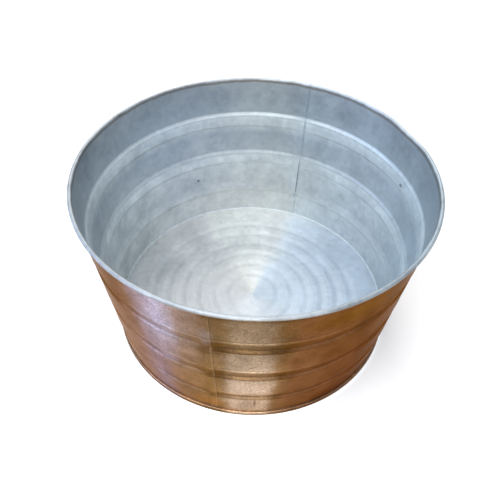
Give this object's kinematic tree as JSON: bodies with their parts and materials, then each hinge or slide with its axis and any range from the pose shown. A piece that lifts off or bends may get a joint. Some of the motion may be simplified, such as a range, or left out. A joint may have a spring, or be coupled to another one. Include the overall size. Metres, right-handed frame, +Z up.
{
  "type": "galvanised wash tub",
  "caption": "Round tapered wash tub of galvanised sheet steel with rolled ribs, lock seams, a wired rim and a raised ringed bottom.",
  "frame": {"origin": "centre of the base, on the surface that the tub stands on", "axes": "+Z up along the tub's axis; +X to the right and +Y to the back as the tub is seen from the front; the back lock seam lies 18 degrees from +Y towards +X and the front one 12 degrees from -Y towards -X"},
  "size_m": [0.56, 0.5599, 0.305],
  "materials": {
    "lacquered_galvanised_sheet": "galvanised sheet, bare spangled zinc inside and on the rim, clear bronze lacquer outside",
    "galvanised_sheet": "bare spangled zinc, dull and lightly worn",
    "drawn_steel_wire": "bare drawn wire",
    "seam_solder": "dull grey solder, wiped smooth"
  },
  "bodies": {
    "root": {"left_wall_panel": "lacquered_galvanised_sheet", "right_wall_panel": "lacquered_galvanised_sheet", "bottom_disc": "galvanised_sheet", "rim_wire": "drawn_steel_wire", "back_seam_solder": "seam_solder", "front_seam_solder": "seam_solder", "bottom_seam_solder": "seam_solder"}
  },
  "joints": []
}
